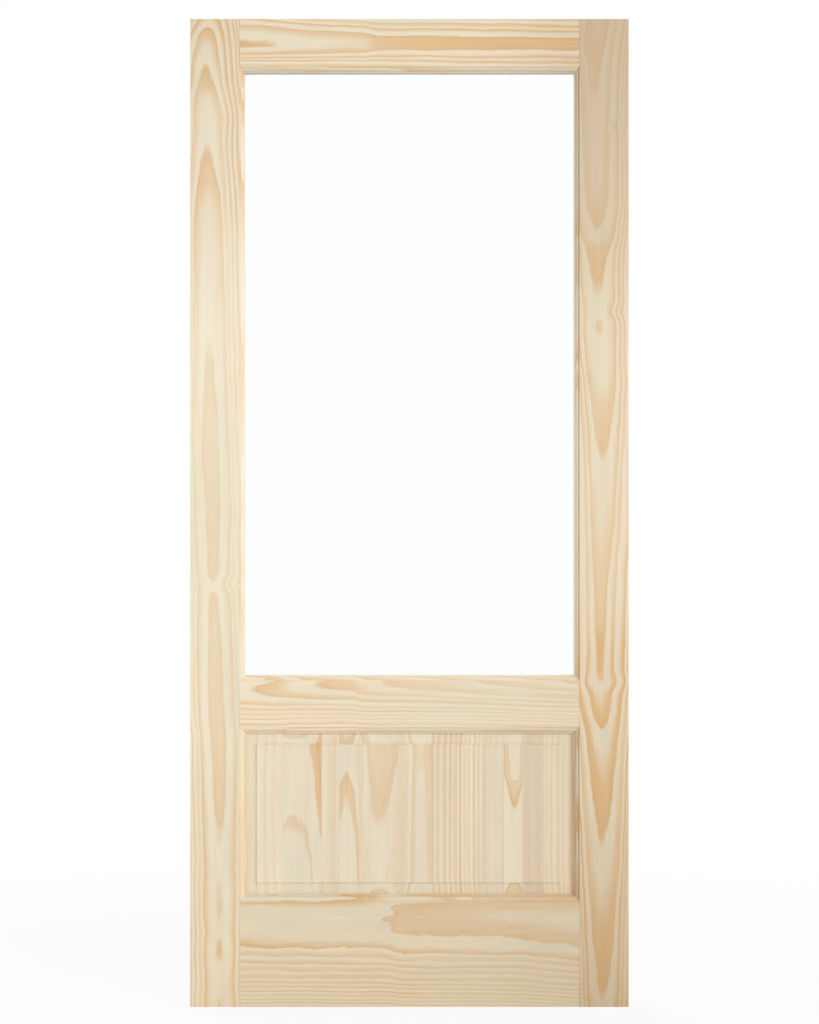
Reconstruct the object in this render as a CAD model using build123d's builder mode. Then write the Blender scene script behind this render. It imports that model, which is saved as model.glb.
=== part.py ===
from build123d import *
import os

# An unhung exterior door leaf in bare softwood. Two stiles and three rails are joined with
# dowels and coped shoulders. The upper opening holds a sealed double-glazed unit behind a
# moulded lip, with mitred beads on the indoor side. The lower opening holds a raised panel
# that is glued up from staves.
# X runs across the leaf, Y through it with the outdoor face towards -Y, and Z upwards from
# the middle of the bottom edge. All sizes are in millimetres.

# Leaf
door_width = 901.7
door_height = 2032.0
door_thickness = 44.45
arris_radius = 1.2

# Flat faces of the frame members, which end where the moulding begins
stile_face = 101.6
top_rail_face = 98.4
lock_rail_face = 96.8
bottom_rail_face = 217.5
panel_opening = 357.5

# Moulding on both faces of every inner edge: a small step down, a quarter round and a flat,
# with the panel groove between the two faces
quirk = 1.6
ovolo_radius = 9.5
sticking_flat = 3.2
groove_width = 12.7

# Glazing rebate and the sealed unit in it. The lip and the beads are as thick as their
# moulding needs, and the air between the panes takes up what is left.
lip_flat = 1.6
bead_flat = 1.6
rebate_margin = 5.0
glass_clearance = 3.2
pane_thickness = 3.2
edge_seal_depth = 3.2
spacer_width = 6.5
spacer_wall = 0.6
primary_seal_thickness = 0.2
primary_seal_inset = 1.0
corner_key_leg = 20.0
key_play = 0.1
setting_block_length = 76.0

# Glazing tape, beads and the brads that hold them
tape_thickness = 1.6
tape_width = 7.0
tape_setback = 1.0
tape_joint_gap = 0.3
bead_play = 0.2
brad_length = 25.4
brad_radius = 0.6
brad_head_radius = 0.95
brad_head_thickness = 0.5
brad_set = 0.6
brad_play = 0.03
brad_depth = 7.0
brad_spacing = 210.0
brad_end_distance = 45.0

# Dowels across each shoulder
dowel_length = 127.0
dowel_radius = 7.9
dowel_play = 0.05
dowel_end_room = 1.5
dowel_end_chamfer = 1.5
dowel_edge_distance = 24.0
flute_depth = 0.8
flute_count = 12
dowels_per_narrow_rail = 2
dowels_per_bottom_rail = 3

# Raised panel. It floats in its grooves, and has slipped towards the left stile.
panel_left_gap = 0.8
panel_right_gap = 5.6
panel_end_gap = 3.2
tongue_play = 0.15
tongue_show = 0.1
bevel_width = 20.6
bevel_rise = 2.1
field_step = 2.6
field_arris = 0.8
panel_pad_length = 25.0
panel_pad_play = 0.5

# Staves are ripped to random widths, which together fill the panel
stave_pattern = (88, 79, 37, 40, 80, 71, 56, 51, 41, 38, 44, 67)

# Places that follow from the sizes above
half_thickness = door_thickness / 2
ovolo_foot = quirk + ovolo_radius
sticking_width = ovolo_radius + sticking_flat
shoulder = door_width / 2 - stile_face
bottom_rail_top = bottom_rail_face
lock_rail_bottom = bottom_rail_top + panel_opening
lock_rail_top = lock_rail_bottom + lock_rail_face
top_rail_bottom = door_height - top_rail_face

rebate_half_width = shoulder + rebate_margin
rebate_bottom = lock_rail_top - rebate_margin
rebate_top = top_rail_bottom + rebate_margin
sight_line = rebate_margin + ovolo_radius

lip_back = -half_thickness + ovolo_foot + lip_flat
bead_front = half_thickness - ovolo_foot - bead_flat
outdoor_pane_front = lip_back + tape_thickness
indoor_pane_back = bead_front - tape_thickness
unit_thickness = indoor_pane_back - outdoor_pane_front
air_front = outdoor_pane_front + pane_thickness
air_back = indoor_pane_back - pane_thickness

glass_half_width = rebate_half_width - glass_clearance
glass_bottom = rebate_bottom + glass_clearance
glass_top = rebate_top - glass_clearance
glass_height = glass_top - glass_bottom
glass_middle = (glass_top + glass_bottom) / 2

panel_tongue = groove_width - 2 * tongue_play
panel_width = 2 * shoulder - panel_left_gap - panel_right_gap
panel_height = panel_opening - 2 * panel_end_gap
panel_centre_x = (panel_left_gap - panel_right_gap) / 2
panel_centre_z = bottom_rail_top + panel_opening / 2
tongue_flat = sticking_width - min(panel_left_gap, panel_right_gap, panel_end_gap) + tongue_show
field_width = panel_width - 2 * (tongue_flat + bevel_width)
field_height = panel_height - 2 * (tongue_flat + bevel_width)

os.makedirs("parts", exist_ok=True)


def save(piece, name):
    """Labels a finished piece and writes it under that name."""
    piece.part.label = name
    export_step(piece.part, f"parts/{name}.step")


def evenly_between(low, high, count):
    """Returns count places from low to high, both included, or the middle for a single one."""
    if count == 1:
        return [(low + high) / 2]
    return [low + (high - low) * step / (count - 1) for step in range(count)]


def loop_sides(half_width, bottom, top):
    """Walks round an upright rectangle and returns each side's name, plane and length.

    Each plane stands at the corner where its side begins. Its z runs along the side, its x
    points into the rectangle and its y points to the outdoor face.
    """
    height = top - bottom
    return (
        ("bottom", Plane((-half_width, 0, bottom), x_dir=(0, 0, 1), z_dir=(1, 0, 0)), 2 * half_width),
        ("right", Plane((half_width, 0, bottom), x_dir=(-1, 0, 0), z_dir=(0, 0, 1)), height),
        ("top", Plane((half_width, 0, top), x_dir=(0, 0, -1), z_dir=(-1, 0, 0)), 2 * half_width),
        ("left", Plane((-half_width, 0, top), x_dir=(1, 0, 0), z_dir=(0, 0, -1)), height),
    )


rebate_sides = loop_sides(rebate_half_width, rebate_bottom, rebate_top)

# Section of the moulded strip, from the flat face's edge into the opening. It is the same on
# both faces, with the panel groove between them.
with BuildSketch() as moulded_strip:
    with BuildLine():
        Polyline(
            (0, half_thickness - quirk),
            (0, groove_width / 2),
            (sticking_width, groove_width / 2),
            (sticking_width, half_thickness - ovolo_foot),
            (ovolo_radius, half_thickness - ovolo_foot),
        )
        CenterArc((0, half_thickness - ovolo_foot), ovolo_radius, 0, 90)
    make_face()
    mirror(about=Plane.XZ)

# The left stile's strip at full height and its mirror image, which also cope the rails' ends
with BuildPart() as stile_moulding:
    with BuildSketch(Plane.XY):
        with Locations((-shoulder, 0)):
            add(moulded_strip.sketch)
    extrude(amount=door_height)
    mirror(about=Plane.YZ)

# What the router takes out for the glass: the rebate from the indoor face, and the lower step
# of the moulding as far as the sight line
with BuildPart() as glazing_rout:
    with BuildSketch(Plane.XZ.offset(-half_thickness)):
        with Locations((0, glass_middle)):
            Rectangle(2 * rebate_half_width, rebate_top - rebate_bottom)
    extrude(amount=half_thickness - lip_back)
    with BuildSketch(Plane.XZ.offset(-half_thickness)):
        with Locations((0, glass_middle)):
            Rectangle(
                2 * (rebate_half_width - sight_line),
                rebate_top - rebate_bottom - 2 * sight_line,
            )
    extrude(amount=door_thickness)

# Dowels, which sit half in a stile and half in a rail
dowel_rows = {
    "bottom_rail": evenly_between(
        dowel_edge_distance, bottom_rail_top - dowel_edge_distance, dowels_per_bottom_rail
    ),
    "lock_rail": evenly_between(
        lock_rail_bottom + dowel_edge_distance,
        lock_rail_top - dowel_edge_distance,
        dowels_per_narrow_rail,
    ),
    "top_rail": evenly_between(
        top_rail_bottom + dowel_edge_distance,
        door_height - dowel_edge_distance,
        dowels_per_narrow_rail,
    ),
}

with BuildPart() as fluted_dowel:
    Cylinder(dowel_radius, dowel_length, rotation=(0, 90, 0))
    chamfer(edges().filter_by(GeomType.CIRCLE), dowel_end_chamfer)
    with BuildSketch(Plane.YZ):
        with PolarLocations(dowel_radius, flute_count):
            RegularPolygon(flute_depth, side_count=4)
    extrude(amount=dowel_length, both=True, mode=Mode.SUBTRACT)

for rail, heights in dowel_rows.items():
    with BuildPart() as rail_dowels:
        with Locations(*[(side * shoulder, 0, z) for side in (-1, 1) for z in heights]):
            add(fluted_dowel.part)
    save(rail_dowels, f"{rail}_dowels")

with BuildPart() as dowel_bores:
    with Locations(
        *[(side * shoulder, 0, z) for side in (-1, 1) for row in dowel_rows.values() for z in row]
    ):
        Cylinder(
            dowel_radius + dowel_play,
            dowel_length + 2 * dowel_end_room,
            rotation=(0, 90, 0),
        )

# Brads that pin the beads to the rebate. The head ends just under the bead's curve, and the
# shank runs square into the rebate's wall.
brad_height = half_thickness - brad_depth
brad_surface = rebate_margin + (ovolo_radius**2 - (ovolo_foot - brad_depth) ** 2) ** 0.5
brad_planes = []
for _, run, length in rebate_sides:
    count = max(2, round((length - 2 * brad_end_distance) / brad_spacing) + 1)
    for station in evenly_between(brad_end_distance, length - brad_end_distance, count):
        head = run.from_local_coords((brad_surface - brad_set, -brad_height, station))
        brad_planes.append(Plane(head, x_dir=run.z_dir, z_dir=run.x_dir))

with BuildPart() as brad:
    Cylinder(brad_radius, brad_length, align=(Align.CENTER, Align.CENTER, Align.MAX))
    Cylinder(brad_head_radius, brad_head_thickness, align=(Align.CENTER, Align.CENTER, Align.MAX))

with BuildPart() as bead_brads:
    with Locations(*[plane.location for plane in brad_planes]):
        add(brad.part)
save(bead_brads, "bead_brads")

with BuildPart() as brad_bores:
    with Locations(*[plane.location for plane in brad_planes]):
        Cylinder(
            brad_radius + brad_play, brad_length, align=(Align.CENTER, Align.CENTER, Align.MAX)
        )
with BuildPart() as brad_pits:
    with Locations(*[plane.offset(-brad_head_thickness).location for plane in brad_planes]):
        Cylinder(
            brad_head_radius + brad_play,
            sight_line,
            align=(Align.CENTER, Align.CENTER, Align.MIN),
        )

# Stiles run the full height of the leaf
with BuildPart() as left_stile:
    with BuildSketch(Plane.XY):
        with Locations((-door_width / 2, 0)):
            Rectangle(stile_face, door_thickness, align=(Align.MIN, Align.CENTER))
        with Locations((-shoulder, 0)):
            add(moulded_strip.sketch)
    extrude(amount=door_height)
    fillet(edges().filter_by(Axis.Z).group_by(Axis.X)[0], arris_radius)
    add(glazing_rout.part, mode=Mode.SUBTRACT)
    add(dowel_bores.part, mode=Mode.SUBTRACT)
    add(brad_bores.part, mode=Mode.SUBTRACT)
save(left_stile, "left_stile")

with BuildPart() as right_stile:
    add(left_stile.part)
    mirror(about=Plane.YZ, mode=Mode.REPLACE)
save(right_stile, "right_stile")

# Rails run from shoulder to shoulder. Each end is coped over the stiles' moulding, which
# leaves a tongue in their groove.
rail_sections = {
    "bottom_rail": (0, bottom_rail_top, ("upper",)),
    "lock_rail": (lock_rail_bottom, lock_rail_top, ("lower", "upper")),
    "top_rail": (top_rail_bottom, door_height, ("lower",)),
}
for rail, (low, high, moulded_edges) in rail_sections.items():
    with BuildPart() as rail_part:
        with BuildSketch(Plane.YZ):
            with Locations((0, low)):
                Rectangle(door_thickness, high - low, align=(Align.CENTER, Align.MIN))
            if "upper" in moulded_edges:
                with Locations(Location((0, high, 0), (0, 0, 90))):
                    add(moulded_strip.sketch)
            if "lower" in moulded_edges:
                with Locations(Location((0, low, 0), (0, 0, -90))):
                    add(moulded_strip.sketch)
        extrude(amount=shoulder, both=True)
        add(stile_moulding.part, mode=Mode.SUBTRACT)
        add(glazing_rout.part, mode=Mode.SUBTRACT)
        add(dowel_bores.part, mode=Mode.SUBTRACT)
        add(brad_bores.part, mode=Mode.SUBTRACT)
    save(rail_part, rail)

# Raised panel before it is cut into staves: a flat tongue, a shallow bevel and a field that
# stands a step above the bevel, the same on both faces
with BuildPart() as panel:
    with BuildSketch(Plane.XZ):
        with Locations((panel_centre_x, panel_centre_z)):
            Rectangle(panel_width, panel_height)
    extrude(amount=panel_tongue / 2, both=True)
    with BuildSketch(Plane.XZ.offset(panel_tongue / 2)):
        with Locations((panel_centre_x, panel_centre_z)):
            Rectangle(panel_width - 2 * tongue_flat, panel_height - 2 * tongue_flat)
    with BuildSketch(Plane.XZ.offset(panel_tongue / 2 + bevel_rise)):
        with Locations((panel_centre_x, panel_centre_z)):
            Rectangle(field_width, field_height)
    loft(ruled=True)
    with BuildSketch(Plane.XZ.offset(panel_tongue / 2 + bevel_rise)):
        with Locations((panel_centre_x, panel_centre_z)):
            Rectangle(field_width, field_height)
    extrude(amount=field_step)
    fillet(faces().sort_by(Axis.Y)[0].edges(), field_arris)
    mirror(about=Plane.XZ)

stave_left = panel_centre_x - panel_width / 2
for number, share in enumerate(stave_pattern, start=1):
    stave_width = panel_width * share / sum(stave_pattern)
    with BuildPart() as stave:
        add(panel.part)
        with Locations((stave_left, 0, panel_centre_z)):
            Box(
                stave_width,
                door_thickness,
                panel_opening,
                align=(Align.MIN, Align.CENTER, Align.CENTER),
                mode=Mode.INTERSECT,
            )
    save(stave, f"panel_stave_{number:02d}")
    stave_left += stave_width

# Pads in the rails' grooves, which keep the panel off their bottoms
with BuildPart() as panel_pads:
    with GridLocations(panel_width / 2, 0, 2, 1):
        with Locations(
            (0, 0, bottom_rail_top + panel_end_gap / 2),
            (0, 0, lock_rail_bottom - panel_end_gap / 2),
        ):
            Box(panel_pad_length, groove_width - panel_pad_play, panel_end_gap)
save(panel_pads, "panel_pads")

# Panes of the sealed unit
for name, front in (("glass_pane_outdoor", outdoor_pane_front), ("glass_pane_indoor", air_back)):
    with BuildPart() as pane:
        with BuildSketch(Plane.XZ.offset(-front - pane_thickness)):
            with Locations((0, glass_middle)):
                Rectangle(2 * glass_half_width, glass_height)
        extrude(amount=pane_thickness)
    save(pane, name)


def glass_ring(outer_inset, inner_inset, front, back):
    """Makes a flat ring between two distances in from the glass's edge."""
    with BuildPart() as ring:
        with BuildSketch(Plane.XZ.offset(-back)):
            with Locations((0, glass_middle)):
                Rectangle(2 * (glass_half_width - outer_inset), glass_height - 2 * outer_inset)
                Rectangle(
                    2 * (glass_half_width - inner_inset),
                    glass_height - 2 * inner_inset,
                    mode=Mode.SUBTRACT,
                )
        extrude(amount=back - front)
    return ring


save(glass_ring(0, edge_seal_depth, air_front, air_back), "edge_sealant")

spacer_front = air_front + primary_seal_thickness
spacer_back = air_back - primary_seal_thickness
seal_outer_inset = edge_seal_depth + primary_seal_inset
seal_inner_inset = edge_seal_depth + spacer_width - primary_seal_inset
save(
    glass_ring(seal_outer_inset, seal_inner_inset, air_front, spacer_front),
    "primary_seal_outdoor",
)
save(
    glass_ring(seal_outer_inset, seal_inner_inset, spacer_back, air_back),
    "primary_seal_indoor",
)

# Hollow spacer bars with a key in each corner, and desiccant in the two upright bars
spacer_sides = loop_sides(
    glass_half_width - edge_seal_depth,
    glass_bottom + edge_seal_depth,
    glass_top - edge_seal_depth,
)
spacer_middle = (spacer_width / 2, -(spacer_front + spacer_back) / 2)
spacer_thickness = spacer_back - spacer_front
hollow_width = spacer_width - 2 * spacer_wall
hollow_thickness = spacer_thickness - 2 * spacer_wall
for side, run, length in spacer_sides:
    with BuildPart() as spacer_bar:
        with BuildSketch(run.offset(spacer_width)):
            with Locations(spacer_middle):
                Rectangle(spacer_width, spacer_thickness)
                Rectangle(hollow_width, hollow_thickness, mode=Mode.SUBTRACT)
        extrude(amount=length - 2 * spacer_width)
    save(spacer_bar, f"spacer_bar_{side}")

with BuildPart() as spacer_keys:
    for _, run, length in spacer_sides:
        with BuildSketch(run):
            with Locations(spacer_middle):
                Rectangle(spacer_width, spacer_thickness)
        extrude(amount=spacer_width)
        with BuildSketch(run.offset(spacer_width), run.offset(length - spacer_width - corner_key_leg)):
            with Locations(spacer_middle):
                Rectangle(hollow_width - 2 * key_play, hollow_thickness - 2 * key_play)
        extrude(amount=corner_key_leg)
save(spacer_keys, "spacer_corner_keys")

with BuildPart() as desiccant:
    for side, run, length in spacer_sides:
        if side in ("left", "right"):
            fill_start = spacer_width + corner_key_leg
            with BuildSketch(run.offset(fill_start)):
                with Locations(spacer_middle):
                    Rectangle(hollow_width - 2 * key_play, hollow_thickness - 2 * key_play)
            extrude(amount=length - 2 * fill_start)
save(desiccant, "desiccant")

# Glazing tape on both faces of the unit, in four strips that stop just short of each other
tape_sides = loop_sides(
    rebate_half_width - sight_line + tape_setback + tape_width,
    rebate_bottom + sight_line - tape_setback - tape_width,
    rebate_top - sight_line + tape_setback + tape_width,
)
for name, tape_front in (
    ("glazing_tape_outdoor", lip_back),
    ("glazing_tape_indoor", indoor_pane_back),
):
    with BuildPart() as glazing_tape:
        for side, run, length in tape_sides:
            end = 0 if side in ("left", "right") else tape_width + tape_joint_gap
            with BuildSketch(run.offset(end)):
                with Locations((0, -tape_front)):
                    Rectangle(tape_width, tape_thickness, align=(Align.MIN, Align.MAX))
            extrude(amount=length - 2 * end)
    save(glazing_tape, name)

# Blocks that carry the glass at its quarter points
with BuildPart() as setting_blocks:
    with Locations(
        (-glass_half_width / 2, outdoor_pane_front, rebate_bottom),
        (glass_half_width / 2, outdoor_pane_front, rebate_bottom),
    ):
        Box(
            setting_block_length,
            unit_thickness,
            glass_clearance,
            align=(Align.CENTER, Align.MIN, Align.MIN),
        )
save(setting_blocks, "setting_blocks")

# Beads on the indoor side, mitred at the corners
for side, run, length in rebate_sides:
    with BuildPart() as glazing_bead:
        with BuildSketch(run):
            with BuildLine():
                Polyline(
                    (rebate_margin, -half_thickness + quirk),
                    (rebate_margin, -half_thickness),
                    (bead_play, -half_thickness),
                    (bead_play, -bead_front),
                    (sight_line, -bead_front),
                    (sight_line, -half_thickness + ovolo_foot),
                )
                CenterArc((rebate_margin, -half_thickness + ovolo_foot), ovolo_radius, 0, -90)
            make_face()
        extrude(amount=length)
        split(bisect_by=Plane(run.origin, z_dir=run.z_dir - run.x_dir), keep=Keep.TOP)
        run_end = run.origin + run.z_dir * length
        split(bisect_by=Plane(run_end, z_dir=-run.z_dir - run.x_dir), keep=Keep.TOP)
        add(brad_bores.part, mode=Mode.SUBTRACT)
        add(brad_pits.part, mode=Mode.SUBTRACT)
    save(glazing_bead, f"glazing_bead_{side}")
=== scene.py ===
"""Dresses a glazed softwood door leaf: solid pine figure, clear panes, sealant and a plain stage."""

import math
from dataclasses import dataclass

import bpy
import numpy as np
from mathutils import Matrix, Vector


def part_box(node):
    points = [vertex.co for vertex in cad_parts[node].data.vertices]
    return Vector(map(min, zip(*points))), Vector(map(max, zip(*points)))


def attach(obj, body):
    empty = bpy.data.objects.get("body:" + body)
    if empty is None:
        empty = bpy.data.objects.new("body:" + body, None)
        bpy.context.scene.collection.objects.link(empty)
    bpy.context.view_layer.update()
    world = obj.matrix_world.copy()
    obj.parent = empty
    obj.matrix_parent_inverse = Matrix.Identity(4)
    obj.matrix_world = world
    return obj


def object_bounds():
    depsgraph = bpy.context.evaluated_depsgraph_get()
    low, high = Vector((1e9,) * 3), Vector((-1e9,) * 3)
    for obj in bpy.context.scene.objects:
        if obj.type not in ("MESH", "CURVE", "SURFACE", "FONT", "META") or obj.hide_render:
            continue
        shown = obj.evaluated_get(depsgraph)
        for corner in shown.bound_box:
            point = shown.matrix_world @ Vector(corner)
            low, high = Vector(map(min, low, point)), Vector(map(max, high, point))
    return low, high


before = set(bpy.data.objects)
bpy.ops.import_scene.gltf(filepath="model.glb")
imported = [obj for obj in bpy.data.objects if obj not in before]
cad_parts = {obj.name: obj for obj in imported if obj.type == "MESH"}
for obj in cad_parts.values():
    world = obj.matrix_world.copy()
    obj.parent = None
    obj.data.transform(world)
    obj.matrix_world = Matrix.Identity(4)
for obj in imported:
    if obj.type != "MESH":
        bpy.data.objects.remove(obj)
cad_low, cad_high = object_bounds()

bl_info = {
    "name": "Pine door leaf",
    "version": (1, 0, 0),
    "blender": (4, 5, 0),
    "location": "View3D > Sidebar > Door leaf",
    "description": "Finishes a glazed softwood door leaf and sets its stage",
    "category": "Object",
}

# Names and places read from the leaf itself, in metres
FRONT = cad_low.y
SIDES = ("bottom", "right", "top", "left")
BEAD_NODES = [f"glazing_bead_{side}" for side in SIDES]
STAVE_NODES = sorted(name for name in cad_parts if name.startswith("panel_stave_"))
RAIL_NODES = ("top_rail", "lock_rail", "bottom_rail")

MILLIMETRE = 0.001

# Distance from a board's heart by which its figure is all side grain, in metres
SIDE_GRAIN = 0.045

# Where the rails' shoulders meet the stiles' flat faces, in metres across the leaf
SHOULDERS = (-0.34925, 0.34925)

# Noises drawn out along the grain: counts per metre along and across, place and detail.
# Those in BENDS bend the rings, each by its own share of a ring, and DRIFT varies how
# strongly late wood shows, by up to DRIFT_REACH.
BENDS = (((3, 14, 0, 1.0), 0.5), ((12, 40, 5, 1.0), 0.45), ((45, 140, 9, 2.0), 0.22))
DRIFT, DRIFT_REACH = (3, 14, 13, 1.0), 0.8
MELLOW = (2.5, 12, 17)
ROSY = (3.5, 22, 23)
RESIN = (4, 30, 31)
FIBRE = (14, 900, 29, 3.0)
GRAIN = (4, 160, 41, 3.0)
FLECKS = (55, 1500, 53, 1.0)

# Share of the bends that is left at the heart, and how unevenly rings are spaced beside it
HEART_BEND = 0.3
UNEVEN_PER_RING = 0.45
UNEVEN_REACH = 0.9

# How a ring's own vigour, from 0 to 1, hardens and deepens its late wood in side grain
VIGOUR_MIDDLE, VIGOUR_HARDENS = 0.35, 1.1
VIGOUR_DEEPENS, WEAK_RING_LOSS = 0.7, 0.45

# The most late wood that a band can hold
FULL_LATE = 1.2

# Shares of other tones in the wood
PINK_SHARE = 0.6
RIM_SHARE = 0.22
# The share of tan, which paints shade into a board as well as giving it its own tone
TAN_AND_PAINTED_SHADE_SHARE = 0.6

# How much fibre and grain vary the tone, and how dark marks are
FIBRE_TONE, GRAIN_TONE = 0.12, 0.14
FLECK_DARK = 0.18
END_GRAIN_DARK = 0.22
SHOULDER_DARK = 0.35
JOINT_DARK = 0.06

# Where flecks begin and are full, and the slants between which a face becomes end grain
FLECK_EDGE = (0.2, 0.3)
END_GRAIN_SLANT = (0.6, 0.9)

# How far the darkness at a shoulder or a joint reaches, and how far it is full
SHOULDER_REACH, JOINT_REACH = 1.0 * MILLIMETRE, 0.8 * MILLIMETRE
SEAM_CORE = 0.2 * MILLIMETRE

# A painted shade or highlight strip's soft edge as a share of its half width, and the length of its faded
# ends in metres
LINE_SOFTNESS = 0.5
LINE_FADE = 0.02

# Parts of a year between which the hard rim of its late wood rises, and falls again
RIM_RISE, RIM_FALL = (0.75, 0.92), (1.0, 0.93)

# How far late wood, fibre and grain stand up, and how rough and how shiny the wood is
LATE_RELIEF, FIBRE_RELIEF, GRAIN_RELIEF = 0.4, 0.8, 0.5
RELIEF_STRENGTH, RELIEF_HEIGHT = 0.25, 0.3 * MILLIMETRE
EARLY_ROUGHNESS, LATE_SMOOTHER, FIBRE_ROUGHER = 0.62, 0.08, 0.1
WOOD_SPECULAR = 0.3

# Plain finishes: how much their speckle stands up and varies the roughness
SPECKLE_STRENGTH, SPECKLE_HEIGHT = 0.1, 0.1 * MILLIMETRE
SPECKLE_ROUGHER = 0.1

# Glass: what its faces mirror seen square on, its tint and its roughness
SQUARE_ON_MIRROR = 0.035
GLASS_TINT, GLASS_ROUGHNESS = (0.995, 1.0, 0.998, 1.0), 0.02

# Stage: the lens and sensor are in millimetres, and distances and heights in metres
LENS, SENSOR_WIDTH = 80.0, 36.0
CAMERA_DISTANCE, EYE_HEIGHT = 4.68, 1.018
KEY_SIDE = (0.55, -0.80, 0.42)
BACK_KEY_SIDE = (-0.5, 0.85, 0.45)
SUN_BREADTH = math.radians(24)
SKY_TONE, SKY_STRENGTH = (1.0, 0.99, 0.975, 1.0), 0.70
WHITE = (1.0, 1.0, 1.0, 1.0)
FLOOR_TONE = (0.8, 0.8, 0.8, 1.0)
FLOOR_GLOW = 0.88


def linear(red, green, blue):
    """Turns a colour given in 0 to 255 screen steps into linear light, with full alpha."""
    steps = np.array([red, green, blue]) / 255
    light = np.where(steps <= 0.04045, steps / 12.92, ((steps + 0.055) / 1.055) ** 2.4)
    return (*[float(value) for value in light], 1.0)


class Value:
    """A node socket that arithmetic can be written with: each operator adds one Math node."""

    def __init__(self, graph, socket):
        self.graph = graph
        self.socket = socket

    def math(self, operation, *others, clamp=False):
        """Adds a Math node of this operation, with this value first and the others after it."""
        return self.graph.maths(operation, (self, *others), clamp)

    def __add__(self, other):
        return self.math("ADD", other)

    def __radd__(self, other):
        return self.math("ADD", other)

    def __sub__(self, other):
        return self.math("SUBTRACT", other)

    def __rsub__(self, other):
        return self.graph.maths("SUBTRACT", (other, self))

    def __mul__(self, other):
        return self.math("MULTIPLY", other)

    def __rmul__(self, other):
        return self.math("MULTIPLY", other)

    def __truediv__(self, other):
        return self.math("DIVIDE", other)

    def __rtruediv__(self, other):
        return self.graph.maths("DIVIDE", (other, self))

    def __pow__(self, other):
        return self.math("POWER", other)

    def __rpow__(self, other):
        return self.graph.maths("POWER", (other, self))

    def __abs__(self):
        return self.math("ABSOLUTE")

    def within(self):
        """Held between 0 and 1."""
        return self.math("ADD", 0.0, clamp=True)

    def smooth(self, low, high):
        """Rises smoothly from 0 at low to 1 at high, and falls where high is below low."""
        rising = low < high
        ends = {1: low, 2: high, 3: 0.0, 4: 1.0} if rising else {1: high, 2: low, 3: 1.0, 4: 0.0}
        settings = {"interpolation_type": "SMOOTHSTEP"}
        return self.graph.node("ShaderNodeMapRange", settings, {0: self, **ends})


class Graph:
    """The nodes of a material or a world, added one at a time."""

    def __init__(self, owner):
        self.owner = owner
        owner.use_nodes = True
        self.tree = owner.node_tree
        self.tree.nodes.clear()

    def add(self, kind, settings=None, values=None):
        """Makes a node, then its settings, then the values or links of its sockets."""
        made = self.tree.nodes.new(kind)
        for name, setting in (settings or {}).items():
            if name == "stops":
                set_stops(made.color_ramp, setting)
            elif name == "points":
                set_points(made.mapping, setting)
            else:
                setattr(made, name, setting)
        for key, value in (values or {}).items():
            if isinstance(value, Value):
                self.tree.links.new(value.socket, made.inputs[key])
            elif isinstance(value, bpy.types.NodeSocket):
                self.tree.links.new(value, made.inputs[key])
            else:
                made.inputs[key].default_value = value
        return made

    def node(self, kind, settings=None, values=None, out=0):
        """Makes a node and returns one of its outputs as a value."""
        return Value(self, self.add(kind, settings, values).outputs[out])

    def maths(self, operation, values, clamp=False):
        """Makes a Math node with these values in its sockets, in their order."""
        settings = {"operation": operation, "use_clamp": clamp}
        return self.node("ShaderNodeMath", settings, dict(enumerate(values)))

    def mix(self, share, first, second):
        """Blends two colours."""
        settings = {"data_type": "RGBA", "blend_type": "MIX", "clamp_factor": True}
        return self.node("ShaderNodeMix", settings, {0: share, 6: first, 7: second}, out=2)

    def join(self, x, y, z):
        """Makes a vector of three numbers."""
        return self.node("ShaderNodeCombineXYZ", None, {0: x, 1: y, 2: z})

    def scaled(self, vector, factor):
        """A vector or colour times a number."""
        return self.node("ShaderNodeVectorMath", {"operation": "SCALE"}, {0: vector, "Scale": factor})

    def bump(self, height, strength, distance):
        """Makes a surface normal that follows a height, which counts as this distance."""
        values = {"Strength": strength, "Distance": distance, "Height": height}
        return self.node("ShaderNodeBump", None, values)

    def noise(self, place, detail=2.0, dimensions="3D"):
        """Soft noise about 0, mostly within half a unit each way."""
        settings = {"noise_dimensions": dimensions}
        source = {"W": place} if dimensions == "1D" else {"Vector": place}
        values = {**source, "Scale": 1.0, "Detail": detail, "Roughness": 0.5}
        return self.node("ShaderNodeTexNoise", settings, values) - 0.5

    def curve(self, position, points):
        """A smooth curve through the points, as (place, height) in their own units."""
        places = [place for place, _ in points]
        heights = [height for _, height in points]
        start, reach = min(places), max(places) - min(places)
        floor, rise = min(heights), max(max(heights) - min(heights), 1e-6)
        within = [((p - start) / reach, (h - floor) / rise) for p, h in points]
        along = (position - start) / reach
        shape = self.node("ShaderNodeFloatCurve", {"points": within}, {"Factor": 1.0, "Value": along})
        return shape * rise + floor

    def finish(self, shader, output="ShaderNodeOutputMaterial"):
        """Joins the shader to the output and returns the material or world."""
        self.add(output, None, {"Surface": shader.outputs[0]})
        return self.owner


def new_material(name):
    """An empty material's graph."""
    return Graph(bpy.data.materials.new(name))


def set_stops(ramp, stops):
    """Gives a colour ramp its stops, each a place and a grey level."""
    while len(ramp.elements) > 1:
        ramp.elements.remove(ramp.elements[-1])
    for index, (place, level) in enumerate(stops):
        element = ramp.elements[0] if index == 0 else ramp.elements.new(place)
        element.position = place
        element.color = (level, level, level, 1.0)


def set_points(mapping, points):
    """Gives a curve its points, joined smoothly and never past them."""
    line = mapping.curves[0]
    line.points[0].location = points[0]
    line.points[1].location = points[-1]
    for place, height in points[1:-1]:
        line.points.new(place, height)
    for point in line.points:
        point.handle_type = "AUTO_CLAMPED"
    mapping.update()


EVEN = ((0.0, 1.0), (1.0, 1.0))


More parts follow.
